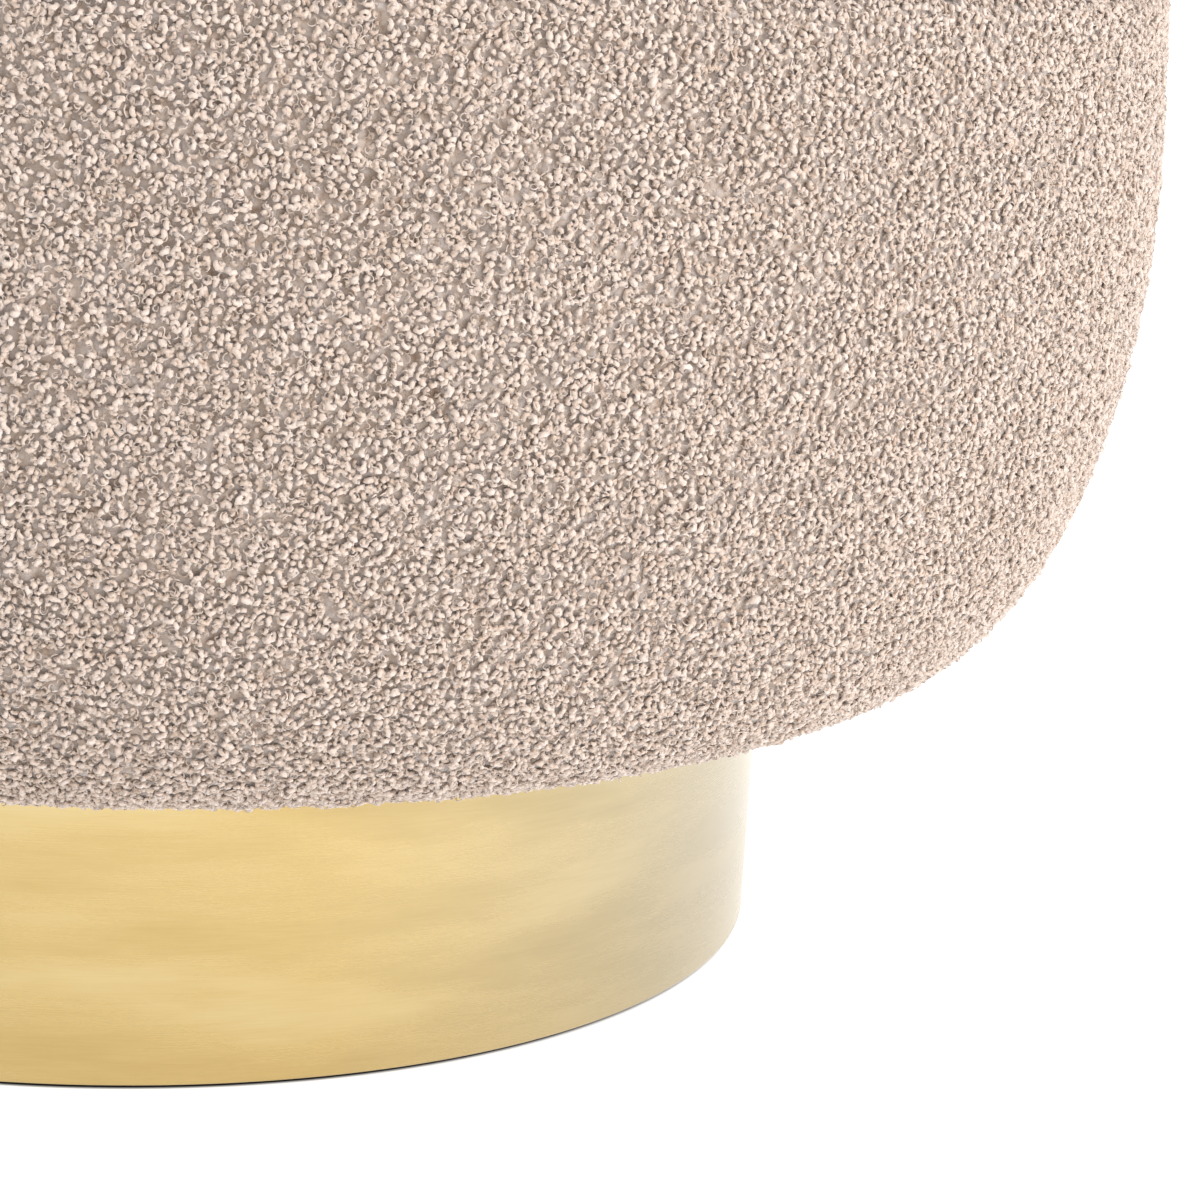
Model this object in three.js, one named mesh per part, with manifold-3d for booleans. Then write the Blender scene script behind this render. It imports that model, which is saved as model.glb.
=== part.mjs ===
// A round storage ottoman: a boucle-covered tub with a lift-off padded lid, bolted to a round plinth that is
// clad in brushed brass-coloured metal. Millimetres, +Z up, the origin on the floor at the ottoman's centre.
import * as THREE from "three";
import { mergeVertices } from "three/addons/utils/BufferGeometryUtils.js";
import Module from "manifold-3d";

const wasm = await Module();
wasm.setup();

// ---- driving dimensions ----
const OUTER_RADIUS = 300; // the boucle at its widest
const TOTAL_HEIGHT = 420;
const WIDEST_Z = 240; // height at which the body is widest
const UNDERSIDE_Z = 86; // the body's underside, and so the plinth's height
const UNDERSIDE_RADIUS = 215; // the underside is flat out to here
const BODY_ROUNDNESS = 2.4; // superellipse exponent of the body's lower curve
const SEAM_Z = 290; // where the lid meets the body
const SEAM_NARROWING = 2; // how much the body draws in from its widest to the seam
const LID_ROUNDNESS = 3.2; // superellipse exponent of the lid's top
const LID_SHOULDER_Z = 318; // height at which the lid's top curve begins
const PLINTH_RADIUS = 196;
const WELL_RADIUS = 220; // inside of the tub's plywood wall
const GAP = 0.3; // clearance kept between pieces that touch

// ---- sheet, board and cover thicknesses ----
const COVER = 3; // boucle with its backing
const WADDING = 8;
const LINING = 1.2;
const WELL_LINING = 1.5;
const PLY = 15;
const WALL_PLY = 8;
const BAND = 1.2; // brass-coloured sheet
const FLOOR_PAD = 5;
const RIM_PAD = 8;

// ---- plinth ----
const BAND_LIFT = 1.2; // the band hangs just clear of the floor
const HEM_WIDTH = 12; // the band's foot folds in under the drum
const PLINTH_WALL = 12;
const BOTTOM_BOARD = 9;
const BOTTOM_BOARD_Z = 4;
const POST_WIDTH = 35;
const POST_DEPTH = 18;
const POST_RADIUS = 150;
const GLIDE_RADIUS = 160;
const GLIDE_DIAMETER = 25;

// ---- tub and lid ----
const BOARD_EDGE_CUT = 13; // bevel round the floor board's lower edge
const BOARD_EDGE_RISE = 7;
const RIM_RING_OUTER = 270;
const RIM_CORNER = 8; // rounding of the cover over the rim
const FLAP_DEPTH = 40; // the body cover turns down into the well
const COVER_TUCK_RADIUS = 170; // the body cover ends here under the floor board
const LID_CORNER = 7; // rounding of the lid's lower edge
const LID_BOARD_RADIUS = 286;
const LID_TUCK_RADIUS = 213; // the lid cover ends here under the lid board
const LOCATING_OUTER = 212;
const LOCATING_WIDTH = 18;
const LOCATING_HEIGHT = 18;

// ---- fasteners ----
const BOLT_RADIUS = 4;
const BOLT_HEAD_RADIUS = 8;
const BOLT_HEAD_HEIGHT = 5;
const BOLT_LENGTH = 38;
const BOLT_CIRCLE = 130;
const TEE_NUT_FLANGE_RADIUS = 11;
const TEE_NUT_FLANGE = 1.5;
const TEE_NUT_BARREL = 11;
const TEE_NUT_WALL = 1;
const SCREW_RADIUS = 2.2;
const SCREW_HEAD_RADIUS = 4.5;
const SCREW_HEAD_HEIGHT = 3;
const SCREW_LENGTH = 28;
const FASTENERS = 4;

// ---- smoothness ----
const ROUND_SEGMENTS = 36;
const FASTENER_SEGMENTS = 10;
const CURVE_STEPS = 7;
const CORNER_STEPS = 2;

// ---- heights that follow ----
const plinthTopZ = UNDERSIDE_Z - GAP;
const topBoardZ = plinthTopZ - PLY;
const floorBoardZ = UNDERSIDE_Z + COVER + GAP;
const floorBoardTopZ = floorBoardZ + PLY;
const wellFloorZ = floorBoardTopZ + GAP + FLOOR_PAD;
const rimTopZ = SEAM_Z - GAP / 2;
const rimPadZ = rimTopZ - COVER - GAP - RIM_PAD;
const rimRingZ = rimPadZ - GAP - PLY;
const tubOuterRadius = WELL_RADIUS + WALL_PLY;
const flapRadius = WELL_RADIUS - GAP - COVER;
const flapZ = rimTopZ - FLAP_DEPTH;
const lidBottomZ = SEAM_Z + GAP / 2;
const lidBoardZ = lidBottomZ + COVER + GAP;
const lidBoardTopZ = lidBoardZ + PLY;
const lidLiningZ = lidBoardZ - GAP - LINING;
const locatingRingZ = lidLiningZ - GAP - LOCATING_HEIGHT;
const locatingMiddle = LOCATING_OUTER - LOCATING_WIDTH / 2;

const FINISHES = {
  boucle: { color: 0xcbb9a8, roughness: 1, metalness: 0 },
  brass: { color: 0xd8bd7c, roughness: 0.3, metalness: 1 },
  plywood: { color: 0xc9a878, roughness: 0.7, metalness: 0 },
  foam: { color: 0xe9e0c4, roughness: 0.95, metalness: 0 },
  wadding: { color: 0xf2f1ec, roughness: 1, metalness: 0 },
  lining: { color: 0xb7a999, roughness: 0.95, metalness: 0 },
  dust_cloth: { color: 0x26262a, roughness: 0.95, metalness: 0 },
  glide: { color: 0x2b2a29, roughness: 0.8, metalness: 0 },
  steel: { color: 0xb9bbbd, roughness: 0.35, metalness: 1 },
};

const ottoman = new THREE.Group();

// ---- outlines: lists of [radius, height] ----

// Points along a superellipse quarter from its widest point to its pole.
function superellipse(startRadius, radiusSpan, startZ, heightSpan, exponent, steps) {
  return Array.from({ length: steps + 1 }, (_, i) => {
    const angle = (i / steps) * (Math.PI / 2);
    const radius = startRadius + radiusSpan * Math.abs(Math.cos(angle)) ** (2 / exponent);
    const z = startZ + heightSpan * Math.abs(Math.sin(angle)) ** (2 / exponent);
    return [i === steps ? startRadius : radius, z];
  });
}

// Points along a circular arc about [radius, z], from one angle to another in degrees.
function arc(radius, z, size, fromDegrees, toDegrees) {
  return Array.from({ length: CORNER_STEPS + 1 }, (_, i) => {
    const angle = THREE.MathUtils.degToRad(fromDegrees + ((toDegrees - fromDegrees) * i) / CORNER_STEPS);
    return [radius + size * Math.cos(angle), z + size * Math.sin(angle)];
  });
}

// The body's outside from the tucked edge underneath to the flap inside the well, drawn in by inset.
function bodyOutline(inset, tuckRadius = COVER_TUCK_RADIUS) {
  const bottom = UNDERSIDE_Z + inset;
  const widest = OUTER_RADIUS - inset;
  const top = rimTopZ - inset;
  const corner = RIM_CORNER - inset;
  const cornerZ = rimTopZ - RIM_CORNER;
  const lower = superellipse(
    UNDERSIDE_RADIUS,
    widest - UNDERSIDE_RADIUS,
    WIDEST_Z,
    bottom - WIDEST_Z,
    BODY_ROUNDNESS,
    CURVE_STEPS,
  ).reverse();
  return [
    [tuckRadius, bottom],
    ...lower,
    ...arc(OUTER_RADIUS - SEAM_NARROWING - RIM_CORNER, cornerZ, corner, 0, 90),
    [flapRadius + RIM_CORNER, top],
  ];
}

// The body's turned-in edge: the rounding at the top of the well and the flap down its wall.
function flapOutline(inset) {
  return [
    ...arc(flapRadius + RIM_CORNER, rimTopZ - RIM_CORNER, RIM_CORNER - inset, 90, 180).slice(1),
    [flapRadius + inset, flapZ],
  ];
}

// The lid's widest radius, drawn in by inset.
function lidRadius(inset) {
  return OUTER_RADIUS - SEAM_NARROWING - inset;
}

// The lid's crown from its shoulder to the middle of its top, drawn in by inset.
function lidCrown(inset) {
  const rise = TOTAL_HEIGHT - inset - LID_SHOULDER_Z;
  return superellipse(0, lidRadius(inset), LID_SHOULDER_Z, rise, LID_ROUNDNESS, CURVE_STEPS);
}

// The lid's outside from a radius on its underside to the middle of its top, drawn in by inset.
function lidOutline(inset, startRadius) {
  const bottom = lidBottomZ + inset;
  const corner = LID_CORNER - inset;
  return [
    [startRadius, bottom],
    ...arc(lidRadius(inset) - corner, bottom + corner, corner, -90, 0),
    ...lidCrown(inset),
  ];
}

// ---- geometry ----

// A solid of revolution about Z; the outline runs anticlockwise with radius to the right and height up.
function turned(outline, segments = ROUND_SEGMENTS) {
  const onAxis = outline[0][0] === 0 && outline.at(-1)[0] === 0;
  const closed = onAxis ? outline : [...outline, outline[0]];
  const points = closed.map(([radius, z]) => new THREE.Vector2(radius, z));
  return new THREE.LatheGeometry(points, segments).rotateX(Math.PI / 2);
}

function disc(radius, bottom, top) {
  return turned([[0, bottom], [radius, bottom], [radius, top], [0, top]]);
}

function ring(inner, outer, bottom, top) {
  return turned([[inner, bottom], [outer, bottom], [outer, top], [inner, top]]);
}

function pin(radius, bottom, top) {
  return turned([[0, bottom], [radius, bottom], [radius, top], [0, top]], FASTENER_SEGMENTS);
}

// Calls place(x, y, number) at each of four spots on the diagonals of a circle.
function onDiagonals(circleRadius, place) {
  for (let i = 0; i < FASTENERS; i += 1) {
    const angle = ((i + 0.5) / FASTENERS) * Math.PI * 2;
    place(circleRadius * Math.cos(angle), circleRadius * Math.sin(angle), i + 1);
  }
}

function solidOf(geometry) {
  const bare = geometry.clone();
  bare.deleteAttribute("normal");
  bare.deleteAttribute("uv");
  const merged = mergeVertices(bare, 1e-3);
  const vertProperties = new Float32Array(merged.attributes.position.array);
  const triVerts = new Uint32Array(merged.index.array);
  return new wasm.Manifold(new wasm.Mesh({ numProp: 3, vertProperties, triVerts }));
}

// The geometry with four copies of a round cutter taken out of it, on the diagonals of a circle.
function drilled(geometry, circleRadius, cutter) {
  let solid = solidOf(geometry);
  onDiagonals(circleRadius, (x, y) => {
    solid = solid.subtract(solidOf(cutter.clone().translate(x, y, 0)));
  });
  const mesh = solid.getMesh();
  const result = new THREE.BufferGeometry();
  result.setAttribute("position", new THREE.BufferAttribute(mesh.vertProperties, 3));
  result.setIndex(new THREE.BufferAttribute(mesh.triVerts, 1));
  result.computeVertexNormals();
  return result;
}

function add(name, finish, geometry, x = 0, y = 0) {
  const mesh = new THREE.Mesh(geometry, new THREE.MeshStandardMaterial(FINISHES[finish]));
  mesh.name = name;
  mesh.position.set(x, y, 0);
  ottoman.add(mesh);
}

// ---- plinth ----

function addPlinthBand() {
  const inner = PLINTH_RADIUS - BAND;
  const hemTop = BAND_LIFT + BAND;
  const edge = BAND / 2;
  add("plinth_band", "brass", turned([
    [PLINTH_RADIUS - HEM_WIDTH, BAND_LIFT],
    [PLINTH_RADIUS - edge, BAND_LIFT],
    [PLINTH_RADIUS, BAND_LIFT + edge],
    [PLINTH_RADIUS, plinthTopZ],
    [inner, plinthTopZ],
    [inner, hemTop],
    [PLINTH_RADIUS - HEM_WIDTH, hemTop],
  ]));
}

function addPlinthDrum() {
  const outer = PLINTH_RADIUS - BAND - GAP;
  const inner = outer - PLINTH_WALL;
  const wallZ = BAND_LIFT + BAND + GAP;
  const boltHole = pin(BOLT_RADIUS + TEE_NUT_WALL + 2 * GAP, topBoardZ - PLY, plinthTopZ + PLY);
  add("plinth_wall", "plywood", ring(inner, outer, wallZ, topBoardZ - GAP));
  add("plinth_bottom_board", "plywood", disc(inner - GAP, BOTTOM_BOARD_Z, BOTTOM_BOARD_Z + BOTTOM_BOARD));
  add("plinth_top_board", "plywood", drilled(disc(outer, topBoardZ, plinthTopZ), BOLT_CIRCLE, boltHole));
}

function addPlinthPosts() {
  const bottom = BOTTOM_BOARD_Z + BOTTOM_BOARD + GAP;
  const height = topBoardZ - GAP - bottom;
  onDiagonals(POST_RADIUS, (x, y, number) => {
    const post = new THREE.BoxGeometry(POST_DEPTH, POST_WIDTH, height);
    post.rotateZ(Math.atan2(y, x)).translate(0, 0, bottom + height / 2);
    add(`plinth_post_${number}`, "plywood", post, x, y);
  });
}

function addGlides() {
  const radius = GLIDE_DIAMETER / 2;
  const bevel = 0.8;
  const top = BOTTOM_BOARD_Z - GAP;
  onDiagonals(GLIDE_RADIUS, (x, y, number) => {
    const outline = [[0, 0], [radius - bevel, 0], [radius, bevel], [radius, top], [0, top]];
    add(`glide_${number}`, "glide", turned(outline, FASTENER_SEGMENTS * 2), x, y);
  });
}

// ---- bolts between the tub and the plinth ----

function addBolts() {
  const headTop = floorBoardTopZ - GAP;
  const headBottom = headTop - BOLT_HEAD_HEIGHT;
  const nutTop = topBoardZ - GAP;
  const nutBottom = nutTop - TEE_NUT_FLANGE;
  const bore = BOLT_RADIUS + GAP;
  const barrel = bore + TEE_NUT_WALL;
  const bolt = [
    [0, headBottom - BOLT_LENGTH],
    [BOLT_RADIUS, headBottom - BOLT_LENGTH],
    [BOLT_RADIUS, headBottom],
    [BOLT_HEAD_RADIUS, headBottom],
    [BOLT_HEAD_RADIUS, headTop - 1],
    [BOLT_HEAD_RADIUS - 1, headTop],
    [0, headTop],
  ];
  const nut = [
    [bore, nutBottom],
    [TEE_NUT_FLANGE_RADIUS, nutBottom],
    [TEE_NUT_FLANGE_RADIUS, nutTop],
    [barrel, nutTop],
    [barrel, nutBottom + TEE_NUT_BARREL],
    [bore, nutBottom + TEE_NUT_BARREL],
  ];
  onDiagonals(BOLT_CIRCLE, (x, y, number) => {
    add(`plinth_bolt_${number}`, "steel", turned(bolt, FASTENER_SEGMENTS), x, y);
    add(`tee_nut_${number}`, "steel", turned(nut, FASTENER_SEGMENTS), x, y);
  });
}

// ---- tub ----

function addFloorBoard() {
  const board = turned([
    [0, floorBoardZ],
    [tubOuterRadius - BOARD_EDGE_CUT, floorBoardZ],
    [tubOuterRadius, floorBoardZ + BOARD_EDGE_RISE],
    [tubOuterRadius, floorBoardTopZ],
    [0, floorBoardTopZ],
  ]);
  const shank = BOLT_RADIUS + GAP;
  const head = BOLT_HEAD_RADIUS + 1;
  const seatZ = floorBoardTopZ - BOLT_HEAD_HEIGHT - 2 * GAP;
  const steppedHole = turned([
    [0, floorBoardZ - PLY],
    [shank, floorBoardZ - PLY],
    [shank, seatZ],
    [head, seatZ],
    [head, floorBoardTopZ + PLY],
    [0, floorBoardTopZ + PLY],
  ], FASTENER_SEGMENTS);
  add("floor_board", "plywood", drilled(board, BOLT_CIRCLE, steppedHole));
  const liningTop = floorBoardZ - GAP;
  const lining = disc(COVER_TUCK_RADIUS - GAP, liningTop - LINING, liningTop);
  const liningHole = pin(shank + 1, liningTop - PLY, liningTop + PLY);
  add("underside_lining", "dust_cloth", drilled(lining, BOLT_CIRCLE, liningHole));
}

function addTub() {
  add("tub_wall", "plywood", ring(WELL_RADIUS, tubOuterRadius, floorBoardTopZ + GAP, rimRingZ - GAP));
  add("rim_ring", "plywood", ring(WELL_RADIUS, RIM_RING_OUTER, rimRingZ, rimRingZ + PLY));
}

function addRimPad() {
  const corner = arc(flapRadius + RIM_CORNER, rimTopZ - RIM_CORNER, RIM_CORNER - COVER - GAP, 90, 180);
  const top = rimPadZ + RIM_PAD;
  add("rim_pad", "foam", turned([
    [WELL_RADIUS, rimPadZ],
    [RIM_RING_OUTER, rimPadZ],
    [RIM_RING_OUTER, top],
    ...corner,
  ]));
}

function addSideFoam() {
  const outline = bodyOutline(COVER + GAP, tubOuterRadius + GAP);
  const outside = outline.slice(0, -1).filter(([radius]) => radius > tubOuterRadius + GAP);
  const inner = tubOuterRadius + GAP;
  const besideRim = RIM_RING_OUTER + GAP;
  const underBoard = floorBoardZ + 2;
  add("side_foam", "foam", turned([
    [inner, underBoard],
    ...outside,
    [besideRim, rimTopZ - COVER - GAP],
    [besideRim, rimRingZ - GAP],
    [inner, rimRingZ - GAP],
  ]));
}

function addBodyCover() {
  const outside = [...bodyOutline(0), ...flapOutline(0)];
  const inside = [...bodyOutline(COVER), ...flapOutline(COVER)].reverse();
  add("body_cover", "boucle", turned([...outside, ...inside]));
}

function addWellLining() {
  const bottom = floorBoardTopZ + GAP;
  const outer = WELL_RADIUS - GAP;
  add("well_floor_pad", "lining", disc(outer, bottom, wellFloorZ));
  add("well_lining", "lining", ring(outer - WELL_LINING, outer, wellFloorZ + GAP, flapZ - GAP));
}

// ---- lid ----

function addLidBoard() {
  const tip = locatingRingZ + SCREW_LENGTH;
  const pilot = pin(SCREW_RADIUS + GAP, lidLiningZ - PLY, tip + 2);
  const board = disc(LID_BOARD_RADIUS, lidBoardZ, lidBoardTopZ);
  const lining = disc(LOCATING_OUTER + GAP, lidLiningZ, lidLiningZ + LINING);
  add("lid_board", "plywood", drilled(board, locatingMiddle, pilot));
  add("lid_lining", "dust_cloth", drilled(lining, locatingMiddle, pilot));
}

function addLocatingRing() {
  const inner = LOCATING_OUTER - LOCATING_WIDTH;
  const top = locatingRingZ + LOCATING_HEIGHT;
  const clearHead = SCREW_HEAD_RADIUS + GAP;
  const clearShank = SCREW_RADIUS + GAP;
  const countersunk = turned([
    [0, locatingRingZ - PLY],
    [clearHead, locatingRingZ - PLY],
    [clearHead, locatingRingZ + GAP],
    [clearShank, locatingRingZ + SCREW_HEAD_HEIGHT + GAP],
    [clearShank, top + PLY],
    [0, top + PLY],
  ], FASTENER_SEGMENTS);
  const plain = ring(inner, LOCATING_OUTER, locatingRingZ, top);
  add("lid_locating_ring", "plywood", drilled(plain, locatingMiddle, countersunk));
}

function addLidScrews() {
  const tip = locatingRingZ + SCREW_LENGTH;
  const outline = [
    [0, locatingRingZ],
    [SCREW_HEAD_RADIUS, locatingRingZ],
    [SCREW_RADIUS, locatingRingZ + SCREW_HEAD_HEIGHT],
    [SCREW_RADIUS, tip - SCREW_HEAD_HEIGHT],
    [0, tip],
  ];
  onDiagonals(locatingMiddle, (x, y, number) => {
    add(`lid_ring_screw_${number}`, "steel", turned(outline, FASTENER_SEGMENTS), x, y);
  });
}

// The lid's padding and cover, each a layer under the next, from the foam outwards.
function addLidPadding() {
  const underWadding = COVER + GAP;
  const underFoam = underWadding + WADDING + GAP;
  const foamZ = lidBoardTopZ + GAP;
  add("lid_foam", "foam", turned([[0, foamZ], [lidRadius(underFoam), foamZ], ...lidCrown(underFoam)]));
  const waddingOutside = lidOutline(underWadding, LID_BOARD_RADIUS + GAP);
  const waddingInside = lidCrown(underWadding + WADDING).reverse();
  add("lid_wadding", "wadding", turned([...waddingOutside, ...waddingInside]));
  const coverInside = lidOutline(COVER, LID_TUCK_RADIUS).reverse();
  add("lid_cover", "boucle", turned([...lidOutline(0, LID_TUCK_RADIUS), ...coverInside]));
}

addPlinthBand();
addPlinthDrum();
addPlinthPosts();
addGlides();
addBolts();
addFloorBoard();
addTub();
addRimPad();
addSideFoam();
addBodyCover();
addWellLining();
addLidBoard();
addLocatingRing();
addLidScrews();
addLidPadding();

export default ottoman;
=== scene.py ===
"""A round boucle storage ottoman on a brass-clad plinth: its looks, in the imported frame, in metres."""

import math

import bpy
import numpy as np
from mathutils import Matrix, Vector


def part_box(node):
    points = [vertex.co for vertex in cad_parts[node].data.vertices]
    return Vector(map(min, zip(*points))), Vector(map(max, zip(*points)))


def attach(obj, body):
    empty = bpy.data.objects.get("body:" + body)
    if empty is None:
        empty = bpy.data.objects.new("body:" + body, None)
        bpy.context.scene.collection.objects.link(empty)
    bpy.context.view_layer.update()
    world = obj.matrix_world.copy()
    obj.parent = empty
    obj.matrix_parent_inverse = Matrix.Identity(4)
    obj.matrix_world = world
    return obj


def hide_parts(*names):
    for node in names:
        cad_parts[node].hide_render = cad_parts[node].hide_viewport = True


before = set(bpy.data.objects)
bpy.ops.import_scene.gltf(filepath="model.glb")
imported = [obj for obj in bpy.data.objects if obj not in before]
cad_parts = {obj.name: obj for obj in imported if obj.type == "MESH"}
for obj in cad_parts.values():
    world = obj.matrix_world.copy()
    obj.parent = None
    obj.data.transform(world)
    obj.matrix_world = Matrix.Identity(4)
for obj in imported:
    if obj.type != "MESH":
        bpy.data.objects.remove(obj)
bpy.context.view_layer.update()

MM = 0.001

# ---- the frame's own measures ----
body_low, body_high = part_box("body_cover")
lid_low, lid_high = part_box("lid_cover")
band_low, band_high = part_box("plinth_band")
foam_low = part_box("side_foam")[0]
wall_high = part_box("tub_wall")[1]
rim_pad_low, rim_pad_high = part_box("rim_pad")
lid_foam_low, lid_foam_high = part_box("lid_foam")
well_low, well_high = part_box("well_lining")
floor_pad_low, floor_pad_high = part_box("well_floor_pad")

OUTER_RADIUS = body_high.x
UNDERSIDE_Z = body_low.z
RIM_Z = body_high.z
LID_RADIUS = lid_high.x
LID_BOTTOM_Z = lid_low.z
LID_TOP_Z = lid_high.z
TUB_RADIUS = wall_high.x
PLINTH_RADIUS = band_high.x

# ---- the outlines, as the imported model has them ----
WIDEST_Z = 0.240
UNDERSIDE_RADIUS = 0.215
BODY_ROUNDNESS = 2.4
LID_SHOULDER_Z = 0.318
LID_ROUNDNESS = 3.2
RIM_CORNER = 8 * MM
LID_CORNER = 7 * MM
TUCK_RADIUS = 0.170
LID_TUCK_RADIUS = 0.213
FLAP_RADIUS = 0.2167
FLAP_Z = RIM_Z - 0.040
COVER = 3 * MM
WADDING = 8 * MM
GAP = 0.3 * MM
RIM_PAD_INNER_RADIUS = well_high.x + GAP
HEM_WIDTH = 12 * MM
BAND = 1.2 * MM
RIM_RING_RADIUS = 0.270

# ---- the boucle's pile ----
CLUMP_CELL = (2.9 * MM, 2.9 * MM, 2.2 * MM)  # clumps of curls lie in loose level rows
NUB_CELL = 1.3 * MM
SWELL_CELL = 70 * MM
CLUMP_HEIGHT = 0.75 * MM
NUB_HEIGHT = 0.30 * MM
SWELL_HEIGHT = 0.3 * MM
PILE_SINK = 1.4 * MM  # the pile's foot lies this far inside the outline, so its middle is on it
HOLLOW_Z = 0.147  # the padding gives a little here, under the widest part
HOLLOW_REACH = 0.036
HOLLOW_DEPTH = 1.1 * MM
SKIN_PITCH = 1.9 * MM
BACKING_PITCH = 9 * MM
SKIN_COLUMNS = 1000
CURL_SECTORS = 16
CURL_ANGLES = (math.radians(-126), math.radians(6))
CURL_FADE = math.radians(13)
CURL_LIFT = 2.0 * MM  # the ground under the curls lies in their real shade, so its painted shade is paler there
CURL_Z_TOP = RIM_Z - 1 * MM
CURL_START = 42 * MM

# ---- how many points the other turned pieces have round them ----
BAND_COLUMNS = 512
PADDING_COLUMNS = 360
LINING_COLUMNS = 720
CUSHION_COLUMNS = 480
DUST_CLOTH_COLUMNS = 240

# ---- camera and light ----
CAMERA_DISTANCE = 1.030
CAMERA_HEIGHT = 0.327
CAMERA_PITCH = math.radians(12.96)
CAMERA_YAW = math.radians(8.17)
CAMERA_ROLL = math.radians(3.65)
CAMERA_LENS_MM = 102.75
SENSOR_MM = 36


# ---- outlines: radius and height, going round each piece with its outside on the right ----

def superellipse(start_radius, span, start_z, height, exponent, steps=160):
    """Radius and height along a quarter from the widest point to the pole."""
    angle = np.linspace(0, math.pi / 2, steps)
    radius = start_radius + span * np.abs(np.cos(angle)) ** (2 / exponent)
    z = start_z + height * np.abs(np.sin(angle)) ** (2 / exponent)
    radius[-1] = start_radius
    return np.stack([radius, z], 1)


def arc(radius, z, size, from_degrees, to_degrees, steps=9):
    angle = np.radians(np.linspace(from_degrees, to_degrees, steps))
    return np.stack([radius + size * np.cos(angle), z + size * np.sin(angle)], 1)


def body_outline(inset=0.0):
    """From the tucked edge under the body, round the side, over the rim and down the flap."""
    lower = superellipse(
        UNDERSIDE_RADIUS,
        OUTER_RADIUS - UNDERSIDE_RADIUS - inset,
        WIDEST_Z,
        UNDERSIDE_Z + inset - WIDEST_Z,
        BODY_ROUNDNESS,
    )[::-1]
    corner_z = RIM_Z - RIM_CORNER
    return np.concatenate([
        [[TUCK_RADIUS, UNDERSIDE_Z + inset]],
        lower,
        arc(LID_RADIUS - RIM_CORNER, corner_z, RIM_CORNER - inset, 0, 90),
        arc(FLAP_RADIUS + RIM_CORNER, corner_z, RIM_CORNER - inset, 90, 180),
        [[FLAP_RADIUS + inset, FLAP_Z]],
    ])


def lid_outline(inset=0.0, tuck=LID_TUCK_RADIUS):
    """From the tucked edge under the lid, round its side and over its crown to the middle."""
    crown_height = LID_TOP_Z - inset - LID_SHOULDER_Z
    crown = superellipse(0, LID_RADIUS - inset, LID_SHOULDER_Z, crown_height, LID_ROUNDNESS)
    corner = arc(LID_RADIUS - LID_CORNER, LID_BOTTOM_Z + LID_CORNER, LID_CORNER - inset, -90, 0)
    return np.concatenate([[[tuck, LID_BOTTOM_Z + inset]], corner, crown])


def along(outline):
    steps = np.linalg.norm(np.diff(outline, axis=0), axis=1)
    return np.concatenate([[0], np.cumsum(steps)])


def resample(outline, pitch):
    """The same outline with points every pitch or so."""
    outline = np.asarray(outline, float)
    outline = outline[np.concatenate([[True], np.diff(along(outline)) > 1e-7])]
    run = along(outline)
    places = np.linspace(0, run[-1], max(2, int(round(run[-1] / pitch)) + 1))
    return np.stack([np.interp(places, run, outline[:, 0]), np.interp(places, run, outline[:, 1])], 1)


def rounded(corners, size, pitch):
    """A closed outline of straight runs with its corners rounded, resampled."""
    corners = np.asarray(corners, float)
    points = []
    for index, corner in enumerate(corners):
        before = corners[index - 1] - corner
        after = corners[(index + 1) % len(corners)] - corner
        reach_before = min(size, np.linalg.norm(before) * 0.45)
        reach_after = min(size, np.linalg.norm(after) * 0.45)
        start = corner + before / np.linalg.norm(before) * reach_before
        end = corner + after / np.linalg.norm(after) * reach_after
        share = np.linspace(0, 1, 5)[:, None]
        points.append((1 - share) ** 2 * start + 2 * share * (1 - share) * corner + share**2 * end)
    points.append(points[0][:1])
    return resample(np.concatenate(points), pitch)[:-1]


# ---- random heights ----

class Lumps:
    """Smooth random heights between -1 and 1 in space, from a block of random numbers that repeats."""

    BLOCK = 48

    def __init__(self, cell, seed):
        self.cell = np.asarray(cell)
        self.block = np.random.default_rng(seed).uniform(-1, 1, (self.BLOCK,) * 3)

    def at(self, points):
        places = points / self.cell
        low = np.floor(places).astype(np.int64)
        share = places - low
        share = share * share * (3 - 2 * share)
        total = np.zeros(points.shape[:-1])
        for corner in np.ndindex(2, 2, 2):
            weight = np.prod(np.where(corner, share, 1 - share), axis=-1)
            x, y, z = np.moveaxis((low + corner) % self.BLOCK, -1, 0)
            total += weight * self.block[x, y, z]
        return total


clumps = Lumps(CLUMP_CELL, 11)
nubs = Lumps(NUB_CELL, 12)
swells = Lumps(SWELL_CELL, 13)


def pile_height(points):
    """How high the boucle's pile stands at each point, from its sunken foot."""
    clump = np.clip(0.5 + 0.8 * clumps.at(points), 0, 1)
    return CLUMP_HEIGHT * clump + NUB_HEIGHT * nubs.at(points)


def curled(angle):
    """1 where the curls stand at their full number, falling to 0 at both ends of the curled stretch."""
    reach = np.minimum(angle - CURL_ANGLES[0], CURL_ANGLES[1] - angle) / CURL_FADE
    return np.clip(reach, 0, 1)


def body_ground_height(points):
    """The body's pile height for its material, raised where curls stand over it, so that the ground's painted
    shade is paler under them.
    """
    angle = np.arctan2(points[:, 1], points[:, 0])
    return pile_height(points) + CURL_LIFT * curled(angle)


def settled(points):
    """How far the padding under the cover stands out or in from place to place."""
    hollow = np.exp(-(((points[..., 2] - HOLLOW_Z) / HOLLOW_REACH) ** 2))
    return SWELL_HEIGHT * swells.at(points) - HOLLOW_DEPTH * hollow


# ---- meshes ----

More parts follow.
